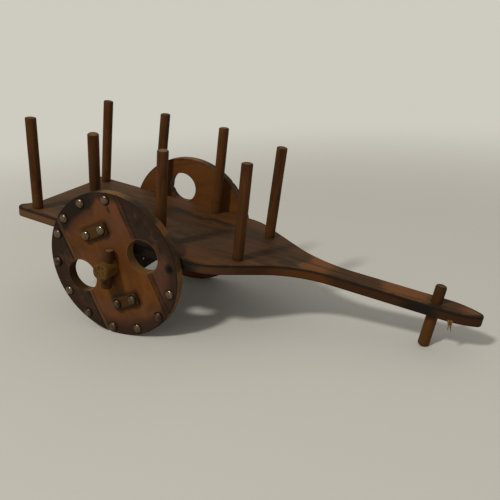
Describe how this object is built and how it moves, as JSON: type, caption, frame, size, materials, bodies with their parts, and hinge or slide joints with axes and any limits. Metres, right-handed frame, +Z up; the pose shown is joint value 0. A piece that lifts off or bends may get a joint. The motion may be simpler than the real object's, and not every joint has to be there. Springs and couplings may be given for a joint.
{
  "type": "model ox cart",
  "caption": "Small wooden model ox cart: a plank bed drawn out into a pole, leaning dowel stakes, a peg foot at the tip and tacked disc wheels that turn on a fixed axle.",
  "frame": {"origin": "on the floor, under the middle of the cart's box", "axes": "+X forward along the pole, +Y to the cart's left, +Z up"},
  "size_m": [0.344, 0.146, 0.1594],
  "materials": {
    "plank_wood": "brown stained wood, torch-burnt edges, satin varnish",
    "stake_wood": "dark stained dowel, satin varnish",
    "peg_wood": "mid-brown stained dowel, satin varnish",
    "raw_wood": "whittled wood, thin varnish",
    "wheel_wood": "brown stained wood, burnt rim, satin varnish",
    "slat_wood": "brown stained wood, burnt edges",
    "tack_metal": "plated steel dome, a little tarnished"
  },
  "bodies": {
    "cart": {"bed_board": "plank_wood", "stake_left_1": "stake_wood", "stake_left_2": "stake_wood", "stake_left_3": "stake_wood", "stake_left_4": "stake_wood", "stake_right_1": "stake_wood", "stake_right_2": "stake_wood", "stake_right_3": "stake_wood", "stake_right_4": "stake_wood", "pole_peg": "peg_wood", "axle": "raw_wood", "linchpin_right": "stake_wood", "linchpin_left": "stake_wood"},
    "wheel_right": {"wheel_right": "wheel_wood", "slat_right_1": "slat_wood", "slat_right_2": "slat_wood", "tacks_right": "tack_metal"},
    "wheel_left": {"wheel_left": "wheel_wood", "slat_left_1": "slat_wood", "slat_left_2": "slat_wood", "tacks_left": "tack_metal"}
  },
  "joints": [
    {"name": "right_wheel_turn", "type": "hinge", "parent": "cart", "child": "wheel_right", "pos_m": [-0.07823, 0, 0.05525], "axis": [0, 1, 0], "continuous": true},
    {"name": "left_wheel_turn", "type": "hinge", "parent": "cart", "child": "wheel_left", "pos_m": [-0.07823, 0, 0.05525], "axis": [0, 1, 0], "continuous": true}
  ]
}
